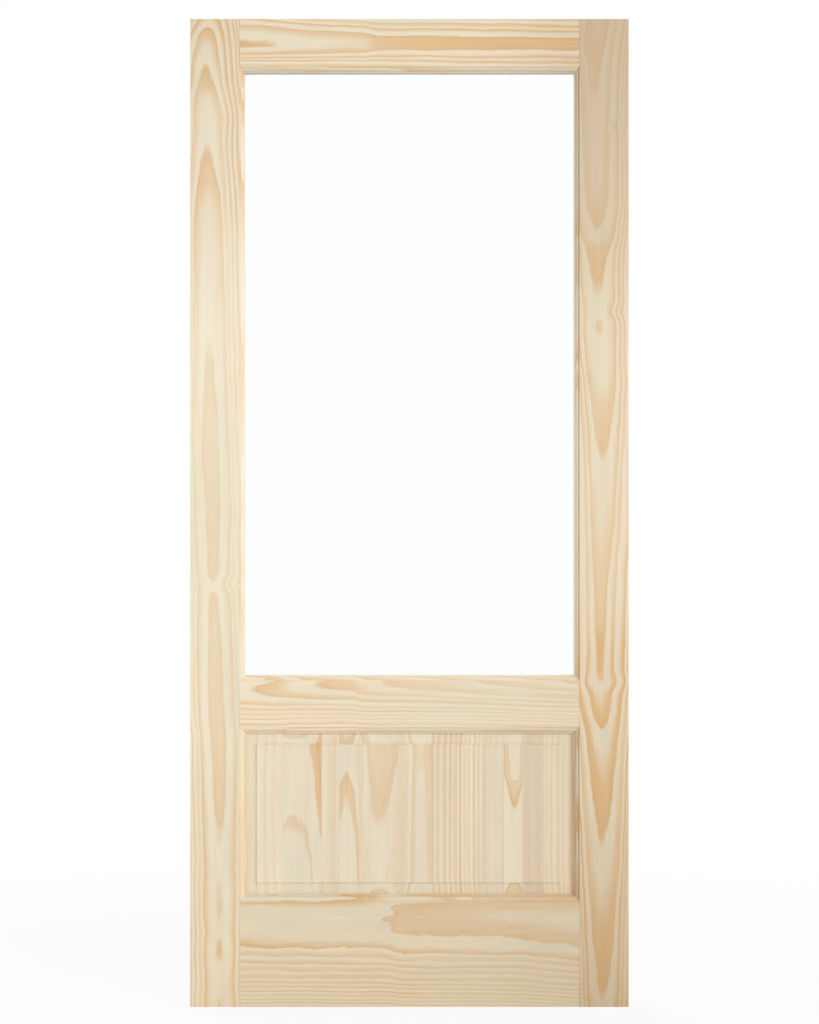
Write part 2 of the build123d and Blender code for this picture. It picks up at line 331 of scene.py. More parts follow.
@dataclass
class Board:
    """How one board lay in its log, and how its figure shows.

    Every list holds pairs of a place along the board, in metres, and a value there.
    heart is where the middle of the figure runs across the board. rings is the count of
    growth rings there, and a whole count is the hard edge where late wood ends. pith is how
    far behind its outdoor face the log's centre lies, and tighten how much narrower the
    rings get with each metre from it. waver is how unsteadily they run. low_side and
    high_side draw the rings together on each side of the heart. strength is how strongly
    late wood shows, shade the board's lightness, warmth its lean to tan and pink its lean to
    pink. The lightness and the lean to tan are partly the wood's own tone and partly painted
    shade, for uneven light on the leaf. bands, where given, says how much late wood each count
    holds, in place of the even yearly rise. A swirl bends the rings round a knot that lies
    near: its place along and across, its reach along and across, and its ring count. A listed
    strip along the board is dark painted shade, or pale painted highlight where its darkness
    is below 0: its place across, its half width, how dark it is, and where it starts and ends.
    ends are where the board's shoulders meet its neighbours, and joints where it is glued to
    others beside it.
    """

    upright: bool
    heart: list
    rings: list
    ring_width: float = 5.5 * MILLIMETRE
    pith: float = 0.080
    tighten: float = 0.0
    waver: float = 1.0
    low_side: tuple = EVEN
    high_side: tuple = EVEN
    strength: tuple = EVEN
    # Lightness along the board, partly its own tone and partly painted shade
    shade: tuple = EVEN
    # Lean to tan along the board, partly its own tone and partly painted shade
    warmth: tuple = ((0.0, 0.0), (1.0, 0.0))
    pink: float = 0.0
    bands: tuple = ()
    swirls: tuple = ()
    # Strips of painted shade, or of painted highlight where their darkness is below 0
    lines: tuple = ()
    seed: float = 0.0
    ends: tuple = ()
    joints: tuple = ()


# Each board's shade and lean to tan below hold painted shade as well as the wood's own tone: darker and
# more tan towards the stiles' ends and the rails' right ends, and darkest on the right stile
LEFT_STILE = Board(
    upright=True,
    heart=[(0.0, -0.390), (0.3, -0.391), (0.52, -0.391), (0.6, -0.397), (0.87, -0.4025),
           (1.03, -0.405), (1.16, -0.410), (1.394, -0.411), (1.6, -0.414), (1.79, -0.417),
           (1.943, -0.419), (2.032, -0.414)],
    rings=[(0.0, -0.05), (0.025, 0), (0.055, 0.1), (0.084, 0), (0.090, -0.04), (0.111, -0.1),
           (0.138, -0.05), (0.142, 0), (0.155, 0.06), (0.169, 0), (0.18, -0.05), (0.215, -0.09),
           (0.255, -0.05), (0.266, 0), (0.285, 0.05), (0.31, 0), (0.36, -0.1), (0.42, -0.2),
           (0.5, -0.26), (0.6, -0.34), (0.72, -0.3), (0.8, -0.2), (0.852, -0.12), (0.858, 0),
           (0.866, 0.04), (0.872, 0), (0.875, -0.06), (0.9, -0.2), (0.97, -0.25), (1.02, -0.36),
           (1.16, -0.38), (1.28, -0.2), (1.36, -0.06), (1.394, 0), (1.5, 0.14), (1.61, 0.24),
           (1.66, 0.36), (1.7, 0.6), (1.74, 0.82), (1.79, 1.0), (1.83, 1.1), (1.87, 1.25),
           (1.886, 1.46), (1.9, 1.68), (1.943, 2.0),
           (1.993, 2.5), (2.016, 3.0), (2.032, 3.4)],
    strength=((0.0, 0.8), (0.25, 0.75), (0.6, 0.5), (1.0, 0.36), (1.4, 0.34), (1.55, 0.45), (1.7, 0.8),
              (2.03, 1.0)),
    shade=((0.0, 0.93), (0.12, 0.93), (0.5, 0.97), (1.2, 1.0), (1.7, 0.95), (2.03, 0.90)),
    warmth=((0.0, 0.25), (0.4, 0.12), (1.2, 0.0), (1.7, 0.1), (2.03, 0.25)),
    swirls=((0.872, -0.372, 0.016, 0.014, 0.6), (1.83, -0.375, 0.03, 0.02, -0.5)),
    # Pale strips of painted highlight along the lit moulding beside the panel and the glass
    lines=((-0.3425, 0.0048, -0.1, 0.2, 0.6), (-0.3425, 0.0048, -0.05, 0.65, 1.95)),
    seed=3.0,
)

RIGHT_STILE = Board(
    upright=True,
    heart=[(0.0, 0.399), (0.33, 0.397), (0.568, 0.396), (0.646, 0.3925), (0.84, 0.394),
           (1.106, 0.398), (1.24, 0.398), (1.33, 0.393), (1.454, 0.3893), (1.53, 0.386),
           (1.6, 0.386), (1.878, 0.383), (2.032, 0.389)],
    rings=[(0.0, 8.05), (0.014, 8.0), (0.1, 7.78), (0.187, 7.5), (0.25, 7.25), (0.327, 7.0),
           (0.4, 6.78), (0.481, 6.5), (0.53, 6.25), (0.568, 6.0), (0.59, 5.78), (0.615, 5.5),
           (0.646, 5.25), (0.669, 5.0), (0.69, 4.93), (0.76, 4.84), (0.86, 4.7), (0.936, 4.52),
           (1.0, 4.3), (1.106, 4.0), (1.17, 3.78), (1.24, 3.5), (1.3, 3.2), (1.374, 3.0),
           (1.4, 2.93), (1.423, 3.0), (1.44, 3.04), (1.454, 3.0), (1.49, 2.9), (1.54, 2.75),
           (1.565, 2.55), (1.58, 2.2), (1.594, 2.0), (1.612, 1.85), (1.637, 1.6), (1.665, 1.4),
           (1.76, 1.2), (1.86, 1.03), (1.878, 1.0), (1.9, 0.94), (1.94, 0.84), (1.98, 0.62),
           (2.032, 0.4)],
    ring_width=5.0 * MILLIMETRE,
    pith=0.100,
    strength=((0.0, 1.25), (0.3, 1.2), (0.66, 1.2), (0.8, 0.75), (1.0, 0.6), (1.4, 0.75), (1.63, 0.6),
              (1.8, 0.45), (2.03, 0.6)),
    # Painted shade in part: this stile is darker than the others, darkest and most tan at its ends
    shade=((0.0, 0.76), (0.15, 0.82), (0.6, 0.92), (1.1, 0.98), (1.4, 0.95), (1.7, 0.84), (2.03, 0.78)),
    warmth=((0.0, 0.65), (0.3, 0.5), (0.9, 0.25), (1.3, 0.2), (1.6, 0.5), (2.03, 0.65)),
    pink=0.22,
    swirls=((0.668, 0.430, 0.018, 0.020, -0.5), (0.668, 0.362, 0.018, 0.016, -0.35),
            (1.43, 0.426, 0.014, 0.020, 0.5), (1.81, 0.4165, 0.012, 0.010, 0.5),
            (1.985, 0.362, 0.035, 0.007, -0.45), (1.925, 0.372, 0.035, 0.006, -0.4)),
    # Strips of painted shadow in the moulding's quirk, a faint one of painted shade on the moulding by the
    # panel, and a pale one of painted highlight at the moulding's inner edge by the glass
    lines=((0.3484, 0.0009, 0.45, 0.66, 1.96), (0.3484, 0.0009, 0.45, 0.2, 0.6),
           (0.344, 0.0032, 0.05, 0.2, 0.6), (0.3395, 0.0026, -0.12, 0.65, 1.96)),
    seed=11.0,
)

TOP_RAIL = Board(
    upright=False,
    heart=[(-0.353, 1.9785), (-0.077, 1.980), (0.1, 1.982), (0.355, 1.980)],
    rings=[(-0.353, 0.84), (-0.3, 0.88), (-0.27, 0.96), (-0.256, 1.0), (-0.16, 1.25), (-0.09, 1.4),
           (-0.07, 1.6), (-0.02, 1.68), (0.1, 1.72), (0.355, 1.75)],
    ring_width=5.9 * MILLIMETRE,
    low_side=((-0.353, 1.6), (-0.1, 1.35), (0.1, 1.1), (0.355, 1.05)),
    high_side=((-0.353, 0.8), (-0.1, 1.0), (0.355, 1.12)),
    strength=((-0.353, 1.0), (0.1, 1.0), (0.355, 1.1)),
    shade=((-0.353, 0.93), (0.0, 0.95), (0.355, 0.86)),
    warmth=((-0.353, 0.12), (0.0, 0.1), (0.355, 0.3)),
    seed=23.0,
    ends=SHOULDERS,
)

LOCK_RAIL = Board(
    upright=False,
    heart=[(-0.353, 0.652), (-0.3, 0.653), (-0.225, 0.662), (-0.122, 0.666), (0.083, 0.675),
           (0.355, 0.680)],
    rings=[(-0.353, 0.05), (-0.334, 0), (-0.312, -0.12), (-0.295, -0.22), (-0.27, -0.45),
           (-0.235, -0.85), (-0.213, -1.0), (-0.164, -1.2), (-0.122, -1.35), (-0.1, -1.7),
           (-0.061, -2.0), (-0.009, -2.3), (0.083, -2.8), (0.186, -3.4), (0.355, -4.4)],
    strength=((-0.353, 0.75), (-0.1, 0.6), (0.1, 0.45), (0.355, 0.5)),
    shade=((-0.353, 1.0), (0.0, 0.97), (0.355, 0.92)),
    warmth=((-0.353, 0.05), (0.355, 0.15)),
    pink=0.2,
    seed=31.0,
    ends=SHOULDERS,
)

BOTTOM_RAIL = Board(
    upright=False,
    heart=[(-0.353, 0.181), (-0.05, 0.181), (0.15, 0.181), (0.355, 0.176)],
    rings=[(-0.353, 0.25), (-0.143, 0.18), (-0.06, 0.12), (-0.038, 0), (-0.025, -0.24), (0, -0.34),
           (0.03, -0.36), (0.15, -0.4), (0.22, -0.45), (0.26, -0.58), (0.3, -0.72), (0.355, -0.82)],
    ring_width=18 * MILLIMETRE,
    pith=0.100,
    tighten=9.0,
    waver=1.2,
    high_side=((-0.353, 1.6), (-0.1, 1.5), (-0.03, 1.15), (0.355, 1.05)),
    strength=((-0.353, 0.75), (0.0, 0.72), (0.2, 0.62), (0.355, 0.7)),
    shade=((-0.353, 0.90), (0.0, 0.89), (0.355, 0.83)),
    warmth=((-0.353, 0.25), (0.0, 0.3), (0.355, 0.4)),
    swirls=((-0.035, 0.205, 0.022, 0.006, -0.35), (-0.045, 0.181, 0.018, 0.006, -0.2),
            (-0.025, 0.157, 0.022, 0.005, -0.3), (0.2, 0.186, 0.05, 0.012, -0.3)),
    seed=43.0,
    ends=SHOULDERS,
)


STAVE_SHADE = ((0.2, 0.91), (0.6, 0.92))
STAVE_WARMTH = ((0.2, 0.05), (0.6, 0.03))


def stave(heart, rings, **looks):
    """A stave of the panel: an upright board, a little darker than the frame."""
    looks = {"shade": STAVE_SHADE, "warmth": STAVE_WARMTH, "waver": 0.4, "pink": 0.15, **looks}
    return Board(upright=True, heart=heart, rings=rings, **looks)


def straight_stave(across, count, ring_width, **looks):
    """A stave sawn so that its rings run straight up it, from a log whose centre is far aside."""
    heart = [(0.2, across), (0.4, across + 0.0015), (0.6, across - 0.001)]
    return stave(heart, [(0.2, count), (0.4, count + 0.25), (0.6, count)], ring_width=ring_width,
                 pith=0.04, **looks)


STAVES = [
    straight_stave(-0.42, 0.1, 0.024, strength=((0.2, 0.25), (0.6, 0.2)), shade=((0.2, 0.94), (0.6, 0.96)),
                   # A strip of painted shadow along the raised field's left edge
                   lines=((-0.3157, 0.0009, 0.14, 0.235, 0.58),), seed=51.0),
    stave(
        heart=[(0.2, -0.244), (0.28, -0.243), (0.356, -0.2395), (0.391, -0.233), (0.6, -0.233)],
        rings=[(0.2, 0.6), (0.28, 0.7), (0.356, 0.9), (0.37, 0.955), (0.38, 0.985), (0.391, 1.0),
               (0.403, 1.03), (0.46, 1.15), (0.545, 1.345), (0.6, 1.4)],
        ring_width=0.0103, pith=0.150, pink=0.25,
        swirls=((0.3, -0.1814, 0.062, 0.012, -0.52),),
        bands=((0.88, 0.0), (0.95, 0.4), (0.985, 0.5), (1.0, 0.0), (1.41, 0.0), (1.46, 0.75), (2.2, 0.9)),
        seed=52.0,
    ),
    straight_stave(-0.21, 0.2, 0.02, strength=((0.2, 0.2), (0.6, 0.2)), pink=0.5, seed=53.0),
    stave(
        heart=[(0.2, -0.131), (0.6, -0.130)],
        rings=[(0.2, -0.5), (0.3485, 0.01), (0.405, 0.383), (0.433, 0.5), (0.485, 1.0), (0.6, 1.35)],
        ring_width=0.0051, pith=0.060,
        bands=((0.4, 0.0), (0.52, 0.6), (0.93, 0.7), (1.02, 0.0), (1.55, 0.0), (1.9, 0.2)),
        seed=54.0,
    ),
    stave(
        heart=[(0.2, -0.062), (0.369, -0.063), (0.467, -0.0586), (0.544, -0.0545), (0.6, -0.054)],
        rings=[(0.2, 1.6), (0.3, 1.25), (0.369, 1.0), (0.467, 0.807), (0.544, 0.55), (0.6, 0.45)],
        ring_width=0.0079, pith=0.100, pink=0.25,
        bands=((0.35, 0.0), (0.48, 0.32), (0.95, 0.45), (1.02, 0.0), (1.35, 0.03), (1.45, 0.28),
               (1.52, 0.08), (1.7, 0.24), (1.8, 0.08), (2.0, 0.26), (2.1, 0.08), (2.4, 0.26)),
        seed=55.0,
    ),
    stave(
        heart=[(0.2, 0.0226), (0.6, 0.0226)],
        rings=[(0.2, 0.2), (0.42, 0.285), (0.48, 0.38), (0.4955, 0.44), (0.51, 0.46), (0.53, 0.43),
               (0.6, 0.43)],
        ring_width=0.0061, pith=0.100,
        low_side=((0.2, 1.5), (0.6, 1.5)),
        bands=((0.38, 0.0), (0.5, 0.35), (0.92, 0.5), (1.0, 0.0), (1.3, 0.03), (1.5, 0.2), (1.9, 0.3)),
        seed=56.0,
    ),
    straight_stave(0.0, 0.6, 0.0105, strength=((0.2, 0.75), (0.6, 0.7)), seed=57.0),
    straight_stave(0.03, 0.2, 0.0095, strength=((0.2, 0.75), (0.6, 0.7)), seed=58.0),
    straight_stave(0.09, 0.4, 0.011, strength=((0.2, 0.3), (0.6, 0.25)), pink=0.4,
                   shade=((0.2, 0.88), (0.6, 0.9)), seed=59.0),
    stave(
        heart=[(0.2, 0.216), (0.6, 0.217)],
        rings=[(0.2, 1.45), (0.35, 1.3), (0.405, 1.0), (0.445, 0.72), (0.462, 0.5), (0.472, 0.3),
               (0.506, 0.22), (0.6, 0.1)],
        ring_width=0.0046, pith=0.060, pink=0.4,
        bands=((0.38, 0.0), (0.48, 0.55), (0.7, 0.45), (0.94, 0.85), (1.02, 0.0), (1.6, 0.0)),
        seed=60.0,
    ),
    straight_stave(0.17, 0.3, 0.02, strength=((0.2, 0.35), (0.6, 0.3)), pink=0.8,
                   shade=((0.2, 0.85), (0.6, 0.87)), warmth=((0.2, 0.25), (0.6, 0.2)), seed=61.0),
    straight_stave(0.21, 0.5, 0.0105, strength=((0.2, 0.55), (0.6, 0.5)),
                   warmth=((0.2, 0.2), (0.6, 0.15)), seed=62.0),
]

# Late wood over one year's ring, as its place in the year and how much of it there is
YEAR = ((0.0, 0.0), (0.25, 0.05), (0.42, 0.42), (0.58, 0.78), (0.8, 0.95), (0.9, 1.0), (1.0, 0.0))


def ring_count(g, board, along, across, depth, streaks):
    """Counts the growth rings out to a point, and says how far it is into the side grain.

    The count is the distance from the pith, less the pith's own depth, over the ring width,
    plus the board's own count along its heart. Noise drawn out along the grain makes it
    waver, more so away from the heart.
    """
    sideways = across - g.curve(along, board.heart)
    high = sideways.math("MAXIMUM", 0.0) * g.curve(along, board.high_side)
    low = sideways.math("MINIMUM", 0.0) * g.curve(along, board.low_side)
    sideways = high + low
    inward = board.pith - depth
    radius = (sideways * sideways + inward * inward) ** 0.5 - board.pith
    count = radius * (radius * board.tighten + 1) / board.ring_width + g.curve(along, board.rings)
    side = abs(sideways).smooth(0.0, SIDE_GRAIN)
    bend = sum(streaks(*noise) * reach for noise, reach in BENDS)
    count = count + bend * (side * (1 - HEART_BEND) + HEART_BEND) * board.waver
    for place, aside, reach, spread, rise in board.swirls:
        off = (along - place) / reach
        beside = (across - aside) / spread
        count = count + (off * off + beside * beside).math("MULTIPLY", -1.0).math("EXPONENT") * rise
    uneven = g.noise(count * UNEVEN_PER_RING + board.seed, 0.0, dimensions="1D")
    return count + uneven * side * UNEVEN_REACH, side


def late_wood(g, board, count, side):
    """Says how much late wood there is at a ring count, from 0 to about 1."""
    if board.bands:
        first, last = board.bands[0][0], board.bands[-1][0]
        reach = last - first
        stops = [((place - first) / reach, level / FULL_LATE) for place, level in board.bands]
        return g.node("ShaderNodeValToRGB", {"stops": stops}, {0: (count - first) / reach}) * FULL_LATE
    dice = {"W": count.math("FLOOR") + board.seed}
    vigour = g.node("ShaderNodeTexWhiteNoise", {"noise_dimensions": "1D"}, dice)
    season = count.math("FRACT") ** (side * (vigour - VIGOUR_MIDDLE) * VIGOUR_HARDENS + 1.0)
    late = g.node("ShaderNodeValToRGB", {"stops": YEAR}, {0: season})
    return late * (side * (vigour * VIGOUR_DEEPENS - WEAK_RING_LOSS) + 1.0)


def pine(node, board, looks):
    """Solid pine for one board: rings about the log's pith, cut by the board's own surfaces."""
    g = new_material(f"pine_{node}")
    place = g.add("ShaderNodeTexCoord")
    spot = g.add("ShaderNodeSeparateXYZ", None, {0: place.outputs["Object"]})
    x, y, z = (Value(g, output) for output in spot.outputs)
    along, across = (z, x) if board.upright else (x, z)
    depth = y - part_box(node)[0].y

    def streaks(per_along, per_across, shift, detail=2.0):
        """Noise drawn out along the grain, with its counts per metre each way."""
        spread = g.join(
            along * per_along + (board.seed + shift), across * per_across, depth * per_across
        )
        return g.noise(spread, detail)

    def patches(noise, sharpness, middle=0.5):
        """Soft stretches of the board between 0 and 1, with clearer edges the sharper they are."""
        return (streaks(*noise) * sharpness + middle).within()

    def seam(position, place, reach):
        """1 in the core of a seam at a place, and 0 beyond its reach."""
        return abs(position - place).smooth(reach, SEAM_CORE)

    count, side = ring_count(g, board, along, across, depth, streaks)
    late = late_wood(g, board, count, side)
    shown = g.curve(along, board.strength) * (streaks(*DRIFT) * DRIFT_REACH + 1.0)
    late = (late * shown).math("MINIMUM", 1.0)
    season = count.math("FRACT")
    rim = season.smooth(*RIM_RISE) * season.smooth(*RIM_FALL) * late

    mellow = patches(MELLOW, sharpness=2.2)
    rosy = patches(ROSY, sharpness=2.4, middle=board.pink + 0.15)
    early = g.mix(mellow, looks.early_wood, looks.green_wood)
    early = g.mix(rosy * PINK_SHARE, early, looks.pink_wood)
    resinous = patches(RESIN, sharpness=2.0)
    ripe = g.mix(resinous, looks.late_wood, looks.late_wood_orange)
    tone = g.mix(late, early, ripe)
    tone = g.mix(rim * RIM_SHARE, tone, looks.ring_edge)
    # The lean to tan: partly the board's own tone and partly painted shade, darker and browner where its
    # curve rises
    tone = g.mix(g.curve(along, board.warmth) * TAN_AND_PAINTED_SHADE_SHARE, tone, looks.tan_veil_and_painted_shade)

    fibre = streaks(*FIBRE)
    grain = streaks(*GRAIN)
    flecks = streaks(*FLECKS).smooth(*FLECK_EDGE) * FLECK_DARK
    level = fibre * FIBRE_TONE + grain * GRAIN_TONE + 1.0 - flecks
    facing = g.add("ShaderNodeSeparateXYZ", None, {0: place.outputs["Normal"]})
    lengthwise = Value(g, facing.outputs["Z" if board.upright else "X"])
    end_grain = abs(lengthwise).smooth(*END_GRAIN_SLANT)
    # Lightness along the board, which is partly painted shade
    level = level * (1 - end_grain * END_GRAIN_DARK) * g.curve(along, board.shade)
    for end in board.ends:
        level = level * (1 - seam(along, end, SHOULDER_REACH) * SHOULDER_DARK)
    # Painted shade and highlight: dark strips where mouldings and raised edges fall in shadow, pale ones
    # where they catch the light
    for middle, half, dark, start, end in board.lines:
        within = abs(across - middle).smooth(half * (1 + LINE_SOFTNESS), half * (1 - LINE_SOFTNESS))
        run = along.smooth(start, start + LINE_FADE) * along.smooth(end, end - LINE_FADE)
        level = level * (1 - within * run * dark)
    for joint in board.joints:
        level = level * (1 - seam(across, joint, JOINT_REACH) * JOINT_DARK)
    tone = g.scaled(tone, level)

    relief = late * LATE_RELIEF + fibre * FIBRE_RELIEF + grain * GRAIN_RELIEF
    bump = g.bump(relief, RELIEF_STRENGTH, RELIEF_HEIGHT)
    rough = EARLY_ROUGHNESS - late * LATE_SMOOTHER + fibre * FIBRE_ROUGHER
    shader = g.add(
        "ShaderNodeBsdfPrincipled",
        None,
        {"Base Color": tone, "Roughness": rough, "Normal": bump, "Specular IOR Level": WOOD_SPECULAR},
    )
    return g.finish(shader)


def plain(name, colour, roughness, metallic=0.0, speckle=0.08, size=400.0):
    """A plain moulded or drawn finish with a fine speckle of tone and roughness."""
    g = new_material(name)
    place = g.add("ShaderNodeTexCoord").outputs["Object"]
    dots = g.noise(g.scaled(place, size), 3.0)
    tone = g.scaled(colour[:3], dots * speckle + 1.0)
    bump = g.bump(dots, SPECKLE_STRENGTH, SPECKLE_HEIGHT)
    shader = g.add(
        "ShaderNodeBsdfPrincipled",
        None,
        {
            "Base Color": tone,
            "Roughness": dots * SPECKLE_ROUGHER + roughness,
            "Metallic": metallic,
            "Normal": bump,
        },
    )
    return g.finish(shader)


def clear_glass(name):
    """Clear float glass, that light goes straight through and that mirrors more at a slant.

    The share that its faces mirror is small seen square on, and rises to 1 with the fifth
    power of one less the cosine of the slant, the same from either side of a face.
    """
    g = new_material(name)
    slant = g.node("ShaderNodeLayerWeight", None, {"Blend": 0.5}, out=1)
    share = slant ** 5 * (1 - SQUARE_ON_MIRROR) + SQUARE_ON_MIRROR
    through = g.add("ShaderNodeBsdfTransparent", None, {"Color": GLASS_TINT})
    mirror = g.add(
        "ShaderNodeBsdfPrincipled",
        None,
        {"Base Color": WHITE, "Metallic": 1.0, "Roughness": GLASS_ROUGHNESS},
    )
    shader = g.add("ShaderNodeMixShader", None, {0: share, 1: through.outputs[0], 2: mirror.outputs[0]})
    return g.finish(shader)


def dress(node, material):
    """Gives a CAD node its material in place of the plain one that it came with."""
    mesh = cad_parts[node].data
    mesh.materials.clear()
    mesh.materials.append(material)


def leaf_settings():
    """The sizes and colours that the panel shows."""
    return bpy.context.scene.door_leaf


class DoorLeafSettings(bpy.types.PropertyGroup):
    """Colours and sizes of the door leaf's finish."""

    early_wood: bpy.props.FloatVectorProperty(
        name="Early wood", description="Pale spring wood of each ring", subtype="COLOR",
        size=4, min=0.0, max=1.0, default=linear(242, 231, 207),
    )
    green_wood: bpy.props.FloatVectorProperty(
        name="Cool early wood", description="Spring wood in a board's cooler stretches", subtype="COLOR",
        size=4, min=0.0, max=1.0, default=linear(231, 225, 200),
    )
    pink_wood: bpy.props.FloatVectorProperty(
        name="Pink early wood", description="Spring wood in a board's rosier stretches", subtype="COLOR",
        size=4, min=0.0, max=1.0, default=linear(236, 214, 191),
    )
    late_wood: bpy.props.FloatVectorProperty(
        name="Late wood", description="Tan summer wood of each ring", subtype="COLOR",
        size=4, min=0.0, max=1.0, default=linear(225, 194, 146),
    )
    late_wood_orange: bpy.props.FloatVectorProperty(
        name="Orange late wood", description="Summer wood rich in resin", subtype="COLOR",
        size=4, min=0.0, max=1.0, default=linear(230, 186, 136),
    )
    ring_edge: bpy.props.FloatVectorProperty(
        name="Ring edge", description="Hard edge where a ring ends", subtype="COLOR",
        size=4, min=0.0, max=1.0, default=linear(205, 158, 108),
    )
    # The tan that boards lean to, partly their own aged tone and partly painted shade
    tan_veil_and_painted_shade: bpy.props.FloatVectorProperty(
        name="Tan veil", description="Tone that sun and age lend to a whole board", subtype="COLOR",
        size=4, min=0.0, max=1.0, default=linear(207, 170, 118),
    )
    toe_width: bpy.props.FloatProperty(
        name="Sealant toe", description="How far the sealant shows past the sight line",
        subtype="DISTANCE", unit="LENGTH", default=1.2 * MILLIMETRE, min=0.0005, max=0.004,
    )
    key_strength: bpy.props.FloatProperty(
        name="Key light", description="Strength of the sun on either face", default=1.25, min=0.0,
    )


class DOOR_OT_frame_members(bpy.types.Operator):
    """Gives the stiles and rails their solid pine"""

    bl_idname = "door.frame_members"
    bl_label = "Stiles and rails"

    def execute(self, context):
        looks = leaf_settings()
        boards = {
            "left_stile": LEFT_STILE,
            "right_stile": RIGHT_STILE,
            "top_rail": TOP_RAIL,
            "lock_rail": LOCK_RAIL,
            "bottom_rail": BOTTOM_RAIL,
        }
        for node, board in boards.items():
            dress(node, pine(node, board, looks))
        return {"FINISHED"}


class DOOR_OT_panel(bpy.types.Operator):
    """Gives each stave of the raised panel its own pine"""

    bl_idname = "door.panel"
    bl_label = "Raised panel"

    def execute(self, context):
        looks = leaf_settings()
        for node, board in zip(STAVE_NODES, STAVES, strict=True):
            low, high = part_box(node)
            board.joints = (low.x, high.x)
            dress(node, pine(node, board, looks))
        return {"FINISHED"}


class DOOR_OT_beads(bpy.types.Operator):
    """Gives the glazing beads pine that runs along each of them"""

    bl_idname = "door.beads"
    bl_label = "Glazing beads"

    def execute(self, context):
        looks = leaf_settings()
        for number, (side, node) in enumerate(zip(SIDES, BEAD_NODES, strict=True)):
            low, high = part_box(node)
            upright = side in ("left", "right")
            start, end = (low.z, high.z) if upright else (low.x, high.x)
            middle = (low.x + high.x) / 2 if upright else (low.z + high.z) / 2
            aside, drift = 0.03, 0.004
            board = Board(
                upright=upright,
                heart=[(start, middle - aside), (end, middle - aside + drift)],
                rings=[(start, 0.2), (end, 0.9)],
                ring_width=5 * MILLIMETRE,
                strength=((start, 0.6), (end, 0.7)),
                seed=70.0 + number,
            )
            dress(node, pine(node, board, looks))
        return {"FINISHED"}


class DOOR_OT_glazing(bpy.types.Operator):
    """Finishes the sealed glass unit, its spacer, seals and tape"""

    bl_idname = "door.glazing"
    bl_label = "Glass unit"

    def execute(self, context):
        glass = clear_glass("clear_float_glass")
        for node in ("glass_pane_outdoor", "glass_pane_indoor"):
            dress(node, glass)
        spacer = plain("white_spacer", linear(236, 236, 233), 0.5, size=900.0)
        for side in SIDES:
            dress(f"spacer_bar_{side}", spacer)
        dress("spacer_corner_keys", plain("moulded_nylon", linear(70, 70, 72), 0.5))
        dress("desiccant", plain("desiccant_fill", linear(205, 188, 165), 0.9, speckle=0.4, size=1500.0))
        butyl = plain("pale_butyl_strip", linear(176, 174, 170), 0.45)
        for node in ("primary_seal_outdoor", "primary_seal_indoor"):
            dress(node, butyl)
        dress("edge_sealant", plain("edge_sealant", linear(196, 194, 189), 0.55))
        tape = plain("foam_tape", linear(222, 219, 210), 0.85, speckle=0.15, size=1200.0)
        for node in ("glazing_tape_outdoor", "glazing_tape_indoor"):
            dress(node, tape)
        return {"FINISHED"}


def swept_frame(name, half_width, bottom, top, section):
    """Carries a closed section round an upright rectangle, with mitred corners.

    A point of the surface is a corner of the rectangle, moved inwards on both axes by the
    section point's first number, at the depth of its second. The section's first number is
    how far it stands into the rectangle, and the second is its place through the leaf.
    """
    corners = np.array([(-half_width, bottom), (half_width, bottom), (half_width, top), (-half_width, top)])
    inward = np.array([(1, 1), (-1, 1), (-1, -1), (1, -1)])
    section = np.asarray(section)
    flat = corners[:, None, :] + inward[:, None, :] * section[None, :, :1]
    depth = np.broadcast_to(section[None, :, 1], flat.shape[:2])
    points = np.stack((flat[..., 0], depth, flat[..., 1]), axis=-1).reshape(-1, 3)
    sides, steps = 4, len(section)
    corner, step = np.meshgrid(np.arange(sides), np.arange(steps), indexing="ij")
    after, beyond = (corner + 1) % sides, (step + 1) % steps
    faces = np.stack(
        (corner * steps + step, corner * steps + beyond, after * steps + beyond, after * steps + step),
        axis=-1,
    ).reshape(-1, 4)
    mesh = bpy.data.meshes.new(name)
    mesh.from_pydata(points.tolist(), [], faces.tolist())
    mesh.validate()
    made = bpy.data.objects.new(name, mesh)
    bpy.context.scene.collection.objects.link(made)
    return made


def face_outwards(piece):
    """Turns a closed mesh's faces outwards by the sign of the volume that they enclose."""
    mesh = piece.data
    mesh.calc_loop_triangles()
    corners = np.empty(len(mesh.loop_triangles) * 3, np.int32)
    mesh.loop_triangles.foreach_get("vertices", corners)
    places = np.empty(len(mesh.vertices) * 3)
    mesh.vertices.foreach_get("co", places)
    a, b, c = places.reshape(-1, 3)[corners.reshape(-1, 3)].transpose(1, 0, 2)
    if np.einsum("ij,ij->i", a, np.cross(b, c)).sum() < 0:
        mesh.flip_normals()
    mesh.update()


class DOOR_OT_sealant_toe(bpy.types.Operator):
    """Makes the thin sealant toe between the outdoor pane and the wood"""

    bl_idname = "door.sealant_toe"
    bl_label = "Sealant toe"

    def execute(self, context):
        sight_half_width = -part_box("glazing_bead_left")[1].x
        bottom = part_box("glazing_bead_bottom")[1].z
        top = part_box("glazing_bead_top")[0].z
        glass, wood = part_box("glass_pane_outdoor")[0].y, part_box("glazing_tape_outdoor")[0].y
        reach = leaf_settings().toe_width
        hidden = 0.9 * MILLIMETRE
        skin = 0.01 * MILLIMETRE
        points, climb = 7, 1.35
        turn = np.linspace(0, np.pi / 2, points)
        rise = (wood - glass) * climb
        cove_x = reach * (1 - np.sin(turn))
        cove_y = glass + rise * (1 - np.cos(turn))
        cove_y[0] = glass - skin
        cove_x[-1] = skin
        section = [*zip(cove_x, cove_y), (skin, wood), (-hidden, wood), (-hidden, glass - skin)]
        toe = swept_frame("sealant_toe_outdoor", sight_half_width, bottom, top, section)
        face_outwards(toe)
        toe.data.materials.append(silicone("clear_sealant"))
        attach(toe, "root")
        return {"FINISHED"}


